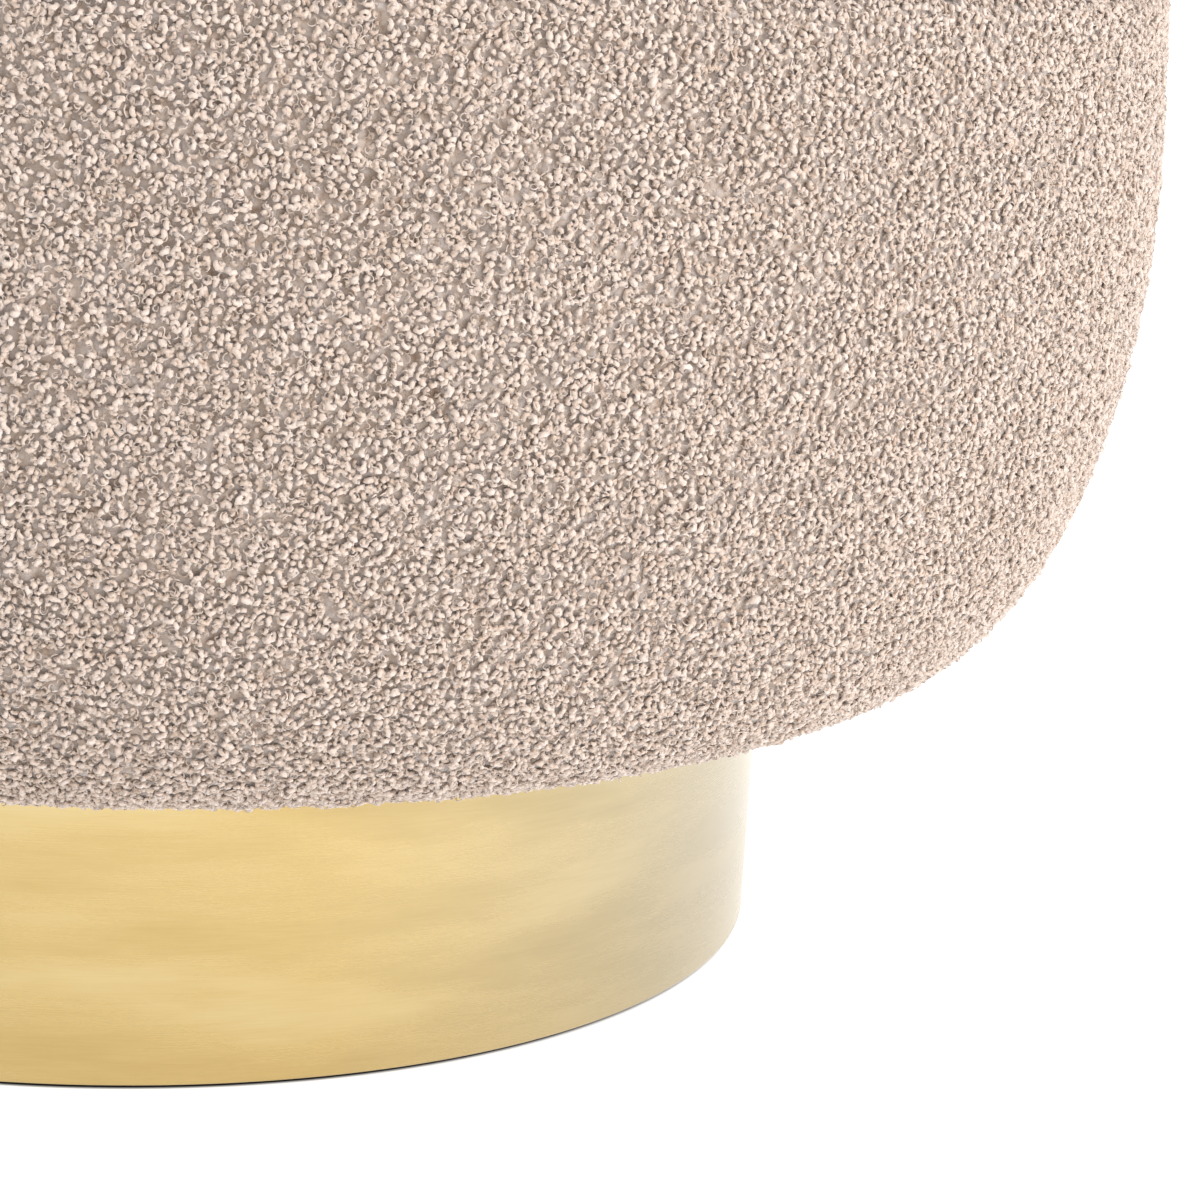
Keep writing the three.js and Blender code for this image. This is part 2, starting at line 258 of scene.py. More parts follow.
def mesh_object(name, points, faces, uv):
    """A smooth mesh object from points, triangles, and each triangle corner's place in the layout."""
    mesh = bpy.data.meshes.new(name)
    mesh.vertices.add(len(points))
    mesh.vertices.foreach_set("co", np.ascontiguousarray(points, np.float32).ravel())
    mesh.loops.add(faces.size)
    mesh.loops.foreach_set("vertex_index", np.ascontiguousarray(faces, np.int32).ravel())
    mesh.polygons.add(len(faces))
    mesh.polygons.foreach_set("loop_start", np.arange(0, faces.size, 3, dtype=np.int32))
    mesh.update(calc_edges=True)
    mesh.polygons.foreach_set("use_smooth", np.full(len(faces), True))
    layer = mesh.uv_layers.new(name="OFBake")
    layer.uv.foreach_set("vector", np.ascontiguousarray(uv, np.float32).ravel())
    obj = bpy.data.objects.new(name, mesh)
    bpy.context.scene.collection.objects.link(obj)
    return obj


def add_heights(obj, heights):
    """Each point's height in the pile, in millimetres, for the material."""
    attribute = obj.data.attributes.new("pile_height", "FLOAT", "POINT")
    attribute.data.foreach_set("value", (np.ravel(heights) / MM).astype(np.float32))


def turned_points(rows, columns, ring):
    """Points and outward normals of an outline turned round the axis."""
    step = np.roll(rows, -1, 0) - np.roll(rows, 1, 0)
    if not ring:
        step[0] = rows[1] - rows[0]
        step[-1] = rows[-1] - rows[-2]
    step /= np.linalg.norm(step, axis=1, keepdims=True) + 1e-12
    angle = np.arange(columns) / columns * 2 * math.pi
    cos, sin = np.cos(angle)[None, :], np.sin(angle)[None, :]
    flat = np.ones_like(cos)
    points = np.stack([rows[:, :1] * cos, rows[:, :1] * sin, rows[:, 1:] * flat], -1)
    normal = np.stack([step[:, 1:] * cos, step[:, 1:] * sin, -step[:, :1] * flat], -1)
    return points, normal


def two_triangles(corners, axis):
    """The two triangles of each four-cornered cell."""
    halves = [np.stack([corners[i] for i in half], axis) for half in ((0, 1, 2), (0, 2, 3))]
    return np.stack(halves, 2)


def turned_faces(rows, columns, ring):
    """Triangles between the points of neighbouring rows, and their corners' places in the layout."""
    count = len(rows)
    run = along(rows)
    run = np.append(run, run[-1] + np.linalg.norm(rows[-1] - rows[0]))
    share = run / (run[-1] if ring else run[-2])
    first = np.arange(count if ring else count - 1)[:, None]
    column = np.arange(columns)[None, :]
    corners = [(first, column), (first, column + 1), (first + 1, column + 1), (first + 1, column)]
    index = [((i % count) * columns + j % columns) for i, j in corners]
    spot = [np.stack(np.broadcast_arrays(j / columns, share[i]), -1) for i, j in corners]
    return two_triangles(index, -1).reshape(-1, 3), two_triangles(spot, -2).reshape(-1, 3, 2)


def closed_poles(points, faces, uv, columns):
    """The first and the last row drawn together into one point each."""
    last = len(points) - columns
    faces = np.where(faces < columns, 0, faces)
    faces = np.where(faces >= last, last, faces)
    good = (faces[:, 0] != faces[:, 1]) & (faces[:, 1] != faces[:, 2]) & (faces[:, 2] != faces[:, 0])
    keep = np.ones(len(points), bool)
    keep[1:columns] = False
    keep[last + 1 :] = False
    return points[keep], (np.cumsum(keep) - 1)[faces[good]], uv[good]


def turned(name, rows, columns, lift=None, heights=None):
    """A solid of revolution. Its rows go from pole to pole, or round a ring that is clear of the axis.

    lift(points) moves each point outwards, and heights(points) is its height in the pile.
    """
    ring = rows[0, 0] > 1e-6
    points, normal = turned_points(rows, columns, ring)
    if lift is not None:
        points = points + normal * lift(points)[..., None]
    points = points.reshape(-1, 3)
    faces, uv = turned_faces(rows, columns, ring)
    if not ring:
        points, faces, uv = closed_poles(points, faces, uv, columns)
    obj = mesh_object(name, points, faces, uv)
    if heights is not None:
        add_heights(obj, heights(points))
    return obj


# ---- curls ----

class Skin:
    """A surface of revolution, looked up by distance along its outline and angle round the axis."""

    def __init__(self, outline):
        self.rows = resample(outline, 0.5 * MM)
        self.run = along(self.rows)
        step = np.gradient(self.rows, axis=0)
        self.step = step / np.linalg.norm(step, axis=1, keepdims=True)

    def frames(self, run, angle):
        """Points, outward normals, and tangents round and along the outline."""
        radius, z = (np.interp(run, self.run, self.rows[:, i]) for i in (0, 1))
        d_radius, d_z = (np.interp(run, self.run, self.step[:, i]) for i in (0, 1))
        cos, sin = np.cos(angle), np.sin(angle)
        point = np.stack([radius * cos, radius * sin, z], -1)
        normal = np.stack([d_z * cos, d_z * sin, -d_radius], -1)
        around = np.stack([-sin, cos, np.zeros_like(sin)], -1)
        up = np.stack([d_radius * cos, d_radius * sin, d_z], -1)
        return point, normal, around, up


def scattered(skin, run_range, angle_range, pitch, random):
    """Spots in loose rows over the skin, as distances along the outline and angles round the axis."""
    spots = []
    for run in np.arange(run_range[0], run_range[1], pitch * 0.86):
        radius = float(np.interp(run, skin.run, skin.rows[:, 0]))
        span = angle_range[1] - angle_range[0]
        count = max(int(radius * span / pitch), 1)
        angle = angle_range[0] + (np.arange(count) + random.random()) / count * span
        angle += random.normal(0, 0.28, count) * pitch / radius
        spots.append(np.stack([run + random.normal(0, 0.25, count) * pitch, angle], 1))
    spots = np.concatenate(spots)
    spots[:, 0] = np.clip(spots[:, 0], 0, skin.run[-1])
    return spots


def curl_lines(frames, foot, shape, drawn, random):
    """Each curl's centre line, and the axis that it curls round."""
    point, normal, around, up = frames
    count = len(point)
    turn = random.uniform(0, 2 * math.pi, count)[:, None]
    lean = np.radians(drawn("lean"))
    side = around * np.cos(turn) + up * np.sin(turn)
    second = up * np.cos(turn) - around * np.sin(turn)
    axis = normal * np.cos(lean) + side * np.sin(lean)
    first = np.cross(second, axis)
    start = random.uniform(0, 2 * math.pi, count)[:, None]
    share = np.linspace(0, 1, shape["steps"])[None, :]
    theta = start + np.radians(drawn("sweep")) * share
    reach = drawn("loop") * (1 - shape["coil"] * share)
    squash = drawn("squash")
    lift = foot[:, None] + drawn("lift")
    centre = (
        (point + normal * lift)[:, None, :]
        + first[:, None, :] * (np.cos(theta) * reach)[..., None]
        + second[:, None, :] * (np.sin(theta) * reach * squash)[..., None]
        + axis[:, None, :] * (drawn("rise") * (share - 0.5))[..., None]
    )
    return centre, axis


def tube_faces(count, steps, sides):
    """Triangles of closed tubes, each with so many rings of so many points."""
    step = np.arange(steps - 1)[:, None] * sides
    this = np.arange(sides)[None, :]
    following = (this + 1) % sides
    near, far = (step + this, step + following), (step + sides + this, step + sides + following)
    walls = np.stack([
        np.stack([near[0], near[1], far[1]], -1),
        np.stack([near[0], far[1], far[0]], -1),
    ]).reshape(-1, 3)
    fan = np.stack([np.zeros(sides - 2, int), np.arange(1, sides - 1), np.arange(2, sides)], 1)
    ends = np.concatenate([fan[:, ::-1], fan + (steps - 1) * sides])
    faces = np.concatenate([walls, ends])[None] + (np.arange(count) * steps * sides)[:, None, None]
    return faces.reshape(-1, 3)


def curl_tubes(skin, spots, shape, random):
    """Curled lengths of yarn standing on the skin: points, triangles, layout places, heights in the pile."""
    frames = skin.frames(spots[:, 0], spots[:, 1])
    point, normal = frames[:2]
    count, steps, sides = len(spots), shape["steps"], shape["sides"]

    def drawn(name):
        return random.uniform(*shape[name], count)[:, None]

    ground = settled(point) - PILE_SINK
    centre, axis = curl_lines(frames, ground + pile_height(point), shape, drawn, random)
    tangent = np.gradient(centre, axis=1)
    tangent /= np.linalg.norm(tangent, axis=2, keepdims=True)
    across = axis[:, None, :] - tangent * (axis[:, None, :] * tangent).sum(2, keepdims=True)
    across /= np.linalg.norm(across, axis=2, keepdims=True)
    other = np.cross(tangent, across)
    share = np.linspace(0, 1, steps)[None, :]
    taper = np.sin(np.clip(share * math.pi, shape["tip"], math.pi - shape["tip"])) ** 0.5
    thick = (drawn("thick") * taper)[..., None, None]
    width = thick * random.uniform(0.8, 1.2, (count, steps, sides, 1))
    ring = np.linspace(0, 2 * math.pi, sides, endpoint=False)[None, None, :, None]
    tube = centre[:, :, None, :] + width * (
        across[:, :, None, :] * np.cos(ring) + other[:, :, None, :] * np.sin(ring)
    )
    height = ((tube - point[:, None, None, :]) * normal[:, None, None, :]).sum(3)
    height -= ground[:, None, None]
    spot = np.stack([spots[:, 1] / (2 * math.pi) % 1, spots[:, 0] / skin.run[-1]], 1)
    place = np.repeat(spot, steps * sides, axis=0)
    return tube.reshape(-1, 3), tube_faces(count, steps, sides), place, height.ravel()


def thinned(spots, random):
    """Fewer and fewer of the spots towards both ends of the curled stretch, so that it has no edge."""
    return spots[random.random(len(spots)) < curled(spots[:, 1])]


def curl_sector(name, skin, run_range, angle_range, layers, seed):
    """One sector of the pile, with every layer of curls in it."""
    random = np.random.default_rng(seed)
    points, faces, places, heights, count = [], [], [], [], 0
    for shape in layers:
        spots = thinned(scattered(skin, run_range, angle_range, shape["pitch"], random), random)
        made = curl_tubes(skin, spots, shape, random)
        points.append(made[0])
        faces.append(made[1] + count)
        places.append(made[2])
        heights.append(made[3])
        count += len(made[0])
    faces = np.concatenate(faces)
    obj = mesh_object(name, np.concatenate(points), faces, np.concatenate(places)[faces])
    add_heights(obj, np.concatenate(heights))
    return obj


# ---- materials ----

class Finish:
    """A node material, with short names for the nodes that these materials use."""

    def __init__(self, name):
        self.material = bpy.data.materials.new(name)
        self.material.use_nodes = True
        self.nodes = self.material.node_tree.nodes
        self.links = self.material.node_tree.links
        self.shader = self.nodes["Principled BSDF"]
        self.coords = self.nodes.new("ShaderNodeTexCoord").outputs["Object"]

    def feed(self, socket, value):
        if isinstance(value, bpy.types.NodeSocket):
            self.links.new(value, socket)
        elif value is not None:
            socket.default_value = value

    def set(self, **values):
        for name, value in values.items():
            self.feed(self.shader.inputs[name.replace("_", " ")], value)

    def math(self, operation, *values):
        node = self.nodes.new("ShaderNodeMath")
        node.operation = operation
        for socket, value in zip(node.inputs, values):
            self.feed(socket, value)
        return node.outputs[0]

    def vector(self, operation, first, second):
        node = self.nodes.new("ShaderNodeVectorMath")
        node.operation = operation
        self.feed(node.inputs[0], first)
        self.feed(node.inputs[1], second)
        return node.outputs[0]

    def noise(self, place, scale, detail=2.0, roughness=0.5):
        node = self.nodes.new("ShaderNodeTexNoise")
        self.feed(node.inputs["Vector"], place)
        node.inputs["Scale"].default_value = scale
        node.inputs["Detail"].default_value = detail
        node.inputs["Roughness"].default_value = roughness
        return node.outputs["Fac"]

    def cells(self, place, scale, output="Distance"):
        node = self.nodes.new("ShaderNodeTexVoronoi")
        self.feed(node.inputs["Vector"], place)
        node.inputs["Scale"].default_value = scale
        return node.outputs[output]

    def between(self, value, low, high, to_low=0.0, to_high=1.0):
        node = self.nodes.new("ShaderNodeMapRange")
        for socket, number in zip(node.inputs, (value, low, high, to_low, to_high)):
            self.feed(socket, number)
        return node.outputs[0]

    def ramp(self, value, *stops):
        node = self.nodes.new("ShaderNodeValToRGB")
        self.feed(node.inputs["Fac"], value)
        elements = node.color_ramp.elements
        for index, (position, colour) in enumerate(stops):
            element = elements[index] if index < 2 else elements.new(position)
            element.position = position
            element.color = (*colour, 1)
        return node.outputs["Color"]

    def mix(self, share, first, second, blend="MIX"):
        node = self.nodes.new("ShaderNodeMix")
        node.data_type = "RGBA"
        node.blend_type = blend
        self.feed(node.inputs[0], share)
        self.feed(node.inputs[6], first)
        self.feed(node.inputs[7], second)
        return node.outputs[2]

    def split(self, place):
        node = self.nodes.new("ShaderNodeSeparateXYZ")
        self.feed(node.inputs[0], place)
        return node.outputs

    def joined(self, x, y, z):
        node = self.nodes.new("ShaderNodeCombineXYZ")
        for socket, value in zip(node.inputs, (x, y, z)):
            self.feed(socket, value)
        return node.outputs[0]

    def from_axis(self):
        """Distance from the object's axis."""
        x, y, _ = self.split(self.coords)
        return self.math("SQRT", self.math("ADD", self.math("MULTIPLY", x, x), self.math("MULTIPLY", y, y)))

    def wrapped(self, radius):
        """Places laid flat off a drum: distance round it, height, and distance from the axis."""
        x, y, z = self.split(self.coords)
        angle = self.math("ARCTAN2", y, x)
        return self.joined(self.math("MULTIPLY", angle, radius), z, self.from_axis())

    def waves(self, value, length):
        """A sine along a coordinate, of so many metres a wave."""
        return self.math("SINE", self.math("MULTIPLY", value, 2 * math.pi / length))

    def bump(self, height, distance, strength):
        node = self.nodes.new("ShaderNodeBump")
        node.inputs["Strength"].default_value = strength
        node.inputs["Distance"].default_value = distance
        self.feed(node.inputs["Height"], height)
        return node.outputs["Normal"]


# each stop of a colour ramp is its place and its linear colour; the dark low stop is painted shade in the
# pile's depths
PILE_TONES_AND_DEPTH_SHADE = ((0.0, (0.37, 0.24, 0.155)), (0.40, (0.58, 0.455, 0.37)), (0.95, (0.675, 0.58, 0.53)))
LUMPS_PER_METRE = 400
PAINTED_GROUND_SHADE = 0.67  # painted shade: the smooth ground casts no shadows on itself as curls do, so its colour is darkened in their stead


def boucle_finish(name, shade, lumpy):
    """Beige looped pile: brown in its depths as painted shade, cream at the tips, with fine fibres on every
    curl.

    lumpy is how strongly the curls show as rounded lumps, by bumps and by painted shade between the lumps,
    where the surface is not made of real curls.
    """
    made = Finish(name)
    height = made.nodes.new("ShaderNodeAttribute")
    height.attribute_name = "pile_height"
    tint = made.cells(made.coords, 380, output="Color")
    fibre = made.noise(made.coords, 3000, 2, 0.6)
    knot = made.noise(made.coords, 850, 2, 0.6)
    patch = made.noise(made.coords, 22, 2)
    # painted shade: the lower a point stands in the pile, the darker and browner it is coloured
    level = made.math("MULTIPLY_ADD", height.outputs["Fac"], 0.14, 0.25)
    push = made.vector("MULTIPLY", made.joined(knot, fibre, knot), (1.2 * MM, 1.2 * MM, 1.2 * MM))
    lump = made.math("SUBTRACT", 1.0, made.cells(made.vector("ADD", made.coords, push), LUMPS_PER_METRE))
    # the lumps' part of the colour is painted shade: pale in the middle of each lump and darker between lumps
    parts = ((made.split(tint)[0], 0.22), (fibre, 0.5), (knot, 0.6), (patch, 0.15), (lump, lumpy))
    for part, amount in parts:
        level = made.math("MULTIPLY_ADD", made.math("SUBTRACT", part, 0.5), amount, level)
    fuzz = made.math("ADD", knot, made.math("MULTIPLY", fibre, 0.5))
    fuzz = made.math("MULTIPLY_ADD", lump, 3 * lumpy, fuzz)
    # shade darkens every tone as painted shade; it is 1 where the curls are real
    stops = [(place, tuple(shade * part for part in tone)) for place, tone in PILE_TONES_AND_DEPTH_SHADE]
    made.set(
        Base_Color=made.ramp(level, *stops),
        Roughness=0.95,
        Sheen_Weight=0.8,
        Sheen_Roughness=0.4,
        Normal=made.bump(fuzz, 0.8 * MM, 0.7),
    )
    return made.material


BRASS_WARMEST = math.radians(-100)  # the brass is warmest here; a quarter turn away a grey reflection is painted into its colour
WARM_BRASS = ((0.30, (0.42, 0.30, 0.11)), (0.50, (0.49, 0.365, 0.155)), (0.70, (0.55, 0.44, 0.225)))
GREY_REFLECTION_BRASS = ((0.30, (0.35, 0.295, 0.18)), (0.70, (0.485, 0.42, 0.285)))


def brass_finish():
    """Brass-coloured sheet, brushed round the band, with faint smears, warm at the front and with a grey
    reflection painted into its colour towards the sides.
    """
    made = Finish("brass")
    flat = made.wrapped(PLINTH_RADIUS)
    grain = made.noise(made.vector("MULTIPLY", flat, (1.0, 60.0, 1.0)), 90, 3, 0.6)
    fine = made.noise(made.vector("MULTIPLY", flat, (1.0, 30.0, 1.0)), 420, 2, 0.6)
    smear = made.noise(made.vector("MULTIPLY", flat, (1.0, 5.0, 1.0)), 9, 3, 0.55)
    level = made.math("ADD", made.math("MULTIPLY", smear, 0.75), made.math("MULTIPLY", grain, 0.25))
    warm = made.ramp(level, *WARM_BRASS)
    grey_reflection = made.ramp(level, *GREY_REFLECTION_BRASS)
    # painted reflection: the colour goes from the warm brass to grey a quarter turn either way round the band
    turn = made.math("MULTIPLY_ADD", made.split(flat)[0], 2 / PLINTH_RADIUS, BRASS_WARMEST * -2)
    warmth_vs_reflection = made.math("ADD", made.math("COSINE", turn), made.math("MULTIPLY", smear, 0.8))
    tone = made.mix(made.between(warmth_vs_reflection, 1.0, -0.3), warm, grey_reflection)
    wear = made.math("ADD", smear, made.math("MULTIPLY", grain, 0.4))
    rough = made.between(wear, 0.4, 1.0, 0.20, 0.36)
    height = made.math("ADD", grain, made.math("MULTIPLY", fine, 0.6))
    made.set(
        Base_Color=tone,
        Metallic=1.0,
        Roughness=rough,
        Anisotropic=0.55,
        Coat_Weight=0.5,
        Coat_Roughness=0.15,
        Normal=made.bump(height, 0.03 * MM, 0.35),
    )
    tangent = made.nodes.new("ShaderNodeTangent")
    tangent.direction_type = "RADIAL"
    tangent.axis = "Z"
    made.links.new(tangent.outputs[0], made.shader.inputs["Tangent"])
    return made.material


GRAIN_RADIUS = 0.2  # between the plinth's wall and the tub's wall


def plywood_finish(name, drum=False):
    """Sanded birch plywood: long grain on its faces and bands of ply on its edges."""
    made = Finish(name)
    normal = made.nodes.new("ShaderNodeNewGeometry").outputs["Normal"]
    facing = made.math("ABSOLUTE", made.split(normal)[2])
    if drum:
        round_it, up, depth = made.split(made.wrapped(GRAIN_RADIUS))
        face = made.joined(round_it, made.math("MULTIPLY", up, 0.06), depth)
        edge = made.between(facing, 0.4, 0.6, 0, 1)
    else:
        x, y, depth = made.split(made.coords)
        face = made.joined(made.math("MULTIPLY", x, 0.06), y, depth)
        edge = made.between(facing, 0.4, 0.6, 1, 0)
    warp = made.math("MULTIPLY", made.noise(face, 24, 2), 0.03)
    grain = made.noise(made.vector("ADD", face, made.joined(0.0, warp, 0.0)), 160, 4, 0.6)
    pores = made.noise(face, 1400, 2, 0.5)
    wood = made.ramp(grain, (0.32, (0.56, 0.40, 0.22)), (0.5, (0.72, 0.57, 0.36)), (0.70, (0.80, 0.66, 0.45)))
    wood = made.mix(made.between(pores, 0.62, 0.75, 0, 0.35), wood, (0.42, 0.28, 0.14, 1))
    ply = made.waves(depth, 2.6 * MM)
    speck = made.noise(made.coords, 1500, 3, 0.6)
    bands = made.ramp(
        made.math("ADD", made.math("MULTIPLY", ply, 0.5), speck),
        (0.25, (0.40, 0.26, 0.13)),
        (0.85, (0.78, 0.63, 0.42)),
    )
    made.set(
        Base_Color=made.mix(edge, wood, bands),
        Roughness=made.between(grain, 0.3, 0.7, 0.62, 0.48),
        Normal=made.bump(made.math("ADD", grain, made.math("MULTIPLY", speck, 0.5)), 0.15 * MM, 0.5),
    )
    return made.material


def foam_finish():
    """Open-cell foam: pale cream, with fine bubbles."""
    made = Finish("foam")
    bubble = made.cells(made.coords, 1400)
    coarse = made.cells(made.coords, 600)
    patch = made.noise(made.coords, 30, 3)
    level = made.math("ADD", made.math("MULTIPLY", bubble, 0.8), made.math("MULTIPLY", patch, 0.5))
    made.set(
        Base_Color=made.ramp(level, (0.15, (0.60, 0.52, 0.33)), (0.75, (0.90, 0.85, 0.70))),
        Roughness=0.95,
        Normal=made.bump(made.math("ADD", bubble, coarse), 0.5 * MM, 0.8),
    )
    return made.material


def wadding_finish():
    """Polyester wadding: white, tangled fibres."""
    made = Finish("wadding")
    warp = made.noise(made.coords, 160, 3)
    fibre = made.noise(made.vector("MULTIPLY", made.coords, (1.0, 1.0, 3.0)), 900, 4, 0.7)
    push = made.vector("MULTIPLY", made.joined(warp, fibre, warp), (0.004, 0.004, 0.004))
    tangle = made.cells(made.vector("ADD", made.coords, push), 500)
    level = made.math("ADD", made.math("MULTIPLY", tangle, 0.6), made.math("MULTIPLY", fibre, 0.6))
    made.set(
        Base_Color=made.ramp(level, (0.2, (0.74, 0.74, 0.72)), (0.8, (0.93, 0.93, 0.91))),
        Roughness=0.95,
        Sheen_Weight=0.4,
        Normal=made.bump(fibre, 0.4 * MM, 0.7),
    )
    return made.material


def lining_finish(name, drum):
    """Plain woven lining: a 1 mm weave of slubby warp and weft."""
    made = Finish(name)
    flat = made.wrapped(well_high.x) if drum else made.coords
    x, y, _ = made.split(flat)
    weave = made.math("MULTIPLY", made.waves(x, 1.1 * MM), made.waves(y, 1.1 * MM))
    slub_x = made.noise(made.vector("MULTIPLY", flat, (1.0, 25.0, 1.0)), 45, 3)
    slub_y = made.noise(made.vector("MULTIPLY", flat, (25.0, 1.0, 1.0)), 45, 3)
    patch = made.noise(made.coords, 14, 2)
    level = made.math("ADD", made.math("MULTIPLY", slub_x, 0.5), made.math("MULTIPLY", slub_y, 0.5))
    level = made.math("ADD", level, made.math("MULTIPLY", weave, 0.10))
    level = made.math("ADD", level, made.math("MULTIPLY", patch, 0.25))
    made.set(
        Base_Color=made.ramp(level, (0.36, (0.40, 0.34, 0.28)), (0.86, (0.68, 0.61, 0.53))),
        Roughness=0.88,
        Sheen_Weight=0.15,
        Normal=made.bump(made.math("ADD", made.math("MULTIPLY", weave, 0.5), level), 0.25 * MM, 0.6),
    )
    return made.material


def dust_cloth_finish():
    """Black spunbond: random fibres, pressed together in a grid of small dots."""
    made = Finish("dust_cloth")
    x, y, _ = made.split(made.coords)
    dots = made.math("MULTIPLY", made.waves(x, 2.4 * MM), made.waves(y, 2.4 * MM))
    press = made.between(dots, 0.55, 0.85, 0, 1)
    fibre = made.noise(made.coords, 1800, 4, 0.75)
    cloud = made.noise(made.coords, 60, 3)
    level = made.math("ADD", made.math("MULTIPLY", fibre, 0.7), made.math("MULTIPLY", cloud, 0.4))
    tone = made.ramp(level, (0.35, (0.018, 0.018, 0.020)), (0.75, (0.075, 0.075, 0.08)))
    made.set(
        Base_Color=made.mix(press, tone, (0.03, 0.03, 0.033, 1)),
        Roughness=made.between(press, 0, 1, 0.9, 0.55),
        Normal=made.bump(made.math("SUBTRACT", fibre, made.math("MULTIPLY", press, 0.6)), 0.2 * MM, 0.6),
    )
    return made.material


def glide_finish():
    """Black moulded plastic pad, lightly scuffed."""
    made = Finish("glide")
    scuff = made.noise(made.coords, 260, 4, 0.7)
    grain = made.noise(made.coords, 2400, 2)
    made.set(
        Base_Color=made.ramp(scuff, (0.4, (0.020, 0.020, 0.021)), (0.75, (0.075, 0.073, 0.070))),
        Roughness=made.between(scuff, 0.3, 0.7, 0.42, 0.7),
        Normal=made.bump(grain, 0.08 * MM, 0.5),
    )
    return made.material


def steel_finish():
    """Zinc-plated steel, satin, with a faint cloudiness."""
    made = Finish("steel")
    cloud = made.noise(made.coords, 300, 3, 0.6)
    fine = made.noise(made.coords, 3000, 2, 0.6)
    made.set(
        Base_Color=made.ramp(cloud, (0.35, (0.55, 0.56, 0.58)), (0.7, (0.76, 0.76, 0.74))),
        Metallic=1.0,
        Roughness=made.between(cloud, 0.3, 0.7, 0.28, 0.48),
        Normal=made.bump(fine, 0.04 * MM, 0.4),
    )
    return made.material


boucle = boucle_finish("boucle_curls", 1.0, 0.0)
ground = boucle_finish("boucle_ground_painted_shade", PAINTED_GROUND_SHADE, 0.8)
brass = brass_finish()
flat_plywood = plywood_finish("plywood_boards")
bent_plywood = plywood_finish("plywood_drums", drum=True)
foam = foam_finish()
wadding = wadding_finish()
wall_lining = lining_finish("lining_wall", True)
floor_lining = lining_finish("lining_floor", False)
dust_cloth = dust_cloth_finish()
glide = glide_finish()
steel = steel_finish()


# ---- soft pieces and the band, each standing for its CAD node ----

def piece(obj, body, node, finish):
    obj.data.materials.append(finish)
    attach(obj, body)
    if node:
        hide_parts(node)
    return obj


def skin_area(outline):
    """The area that an outline sweeps out, going once round the axis."""
    steps = np.linalg.norm(np.diff(outline, axis=0), axis=1)
    middle = (outline[1:, 0] + outline[:-1, 0]) / 2
    return float((2 * math.pi * middle * steps).sum())


def cover(name, outside, inside, node, body, heights):
    """A boucle cover with its backing: a fine, uneven pile outside and a smooth face inside."""
    inner_rows = resample(inside[::-1], BACKING_PITCH)
    outer_rows = resample(outside, SKIN_PITCH)
    rows = np.concatenate([inner_rows, outer_rows])
    on_pile = np.concatenate([np.zeros(len(inner_rows)), np.ones(len(outer_rows))])[:, None]

    def lift(points):
        return on_pile * (pile_height(points) - PILE_SINK + settled(points))

    made = turned(name, rows, SKIN_COLUMNS, lift, heights)
    return piece(made, body, node, ground)


body_cloth = cover(
    "body_cover_cloth", body_outline(), body_outline(COVER), "body_cover", "base", body_ground_height
)
lid_cloth = cover("lid_cover_cloth", lid_outline(), lid_outline(COVER), "lid_cover", "lid", pile_height)

TUFT = {
    "pitch": 2.0 * MM, "steps": 5, "sides": 4, "coil": 0.25, "tip": 0.55,
    "lean": (0, 80), "loop": (0.60 * MM, 1.10 * MM), "squash": (0.8, 1.2), "sweep": (150, 280),
    "rise": (-0.5 * MM, 0.5 * MM), "thick": (0.52 * MM, 0.90 * MM), "lift": (0.20 * MM, 1.15 * MM),
}
CURL = {
    "pitch": 3.0 * MM, "steps": 8, "sides": 3, "coil": 0.25, "tip": 0.5,
    "lean": (0, 65), "loop": (0.80 * MM, 1.30 * MM), "squash": (0.6, 1.1), "sweep": (190, 320),
    "rise": (-0.6 * MM, 0.6 * MM), "thick": (0.15 * MM, 0.24 * MM), "lift": (0.7 * MM, 1.5 * MM),
}


def add_front_pile():
    """Real curls over the front of the body, where the fabric is seen closest."""
    skin = Skin(body_outline())
    top = float(skin.run[np.argmax(skin.rows[:, 1] >= CURL_Z_TOP)])
    bounds = np.linspace(*CURL_ANGLES, CURL_SECTORS + 1)
    for sector in range(CURL_SECTORS):
        name = f"body_pile_{sector + 1:02d}"
        angles = (bounds[sector], bounds[sector + 1])
        made = curl_sector(name, skin, (CURL_START, top), angles, (TUFT, CURL), 100 + sector)
        piece(made, "base", None, boucle)


add_front_pile()


def supported(corners, reach):
    """An open outline with a point just before and just after each corner, so that its flats stay flat."""
    corners = np.array(corners, float)
    points = [corners[0]]
    for before, corner, after in zip(corners, corners[1:], corners[2:]):
        beside = []
        for other in (before, after):
            size = np.linalg.norm(other - corner)
            beside.append(corner + (other - corner) / size * min(reach, size * 0.4))
        points += [beside[0], corner, beside[1]]
    points.append(corners[-1])
    return np.array(points)


def add_band():
    """The brass-coloured band: a rolled foot that folds in under the drum, and a plain top edge."""
    roll = BAND / 2
    low, high = band_low.z, band_high.z
    inner, hem = PLINTH_RADIUS - BAND, PLINTH_RADIUS - HEM_WIDTH
    foot = arc(PLINTH_RADIUS - roll, low + roll, roll, -90, 0, 7)
    top = [[PLINTH_RADIUS, high - roll], [PLINTH_RADIUS - roll, high], [inner, high]]
    rest = [*top, [inner, low + BAND], [hem, low + BAND]]
    outline = supported([[hem, low], *foot, *rest], 0.3 * MM)
    piece(turned("plinth_band_sheet", outline, BAND_COLUMNS), "base", "plinth_band", brass)


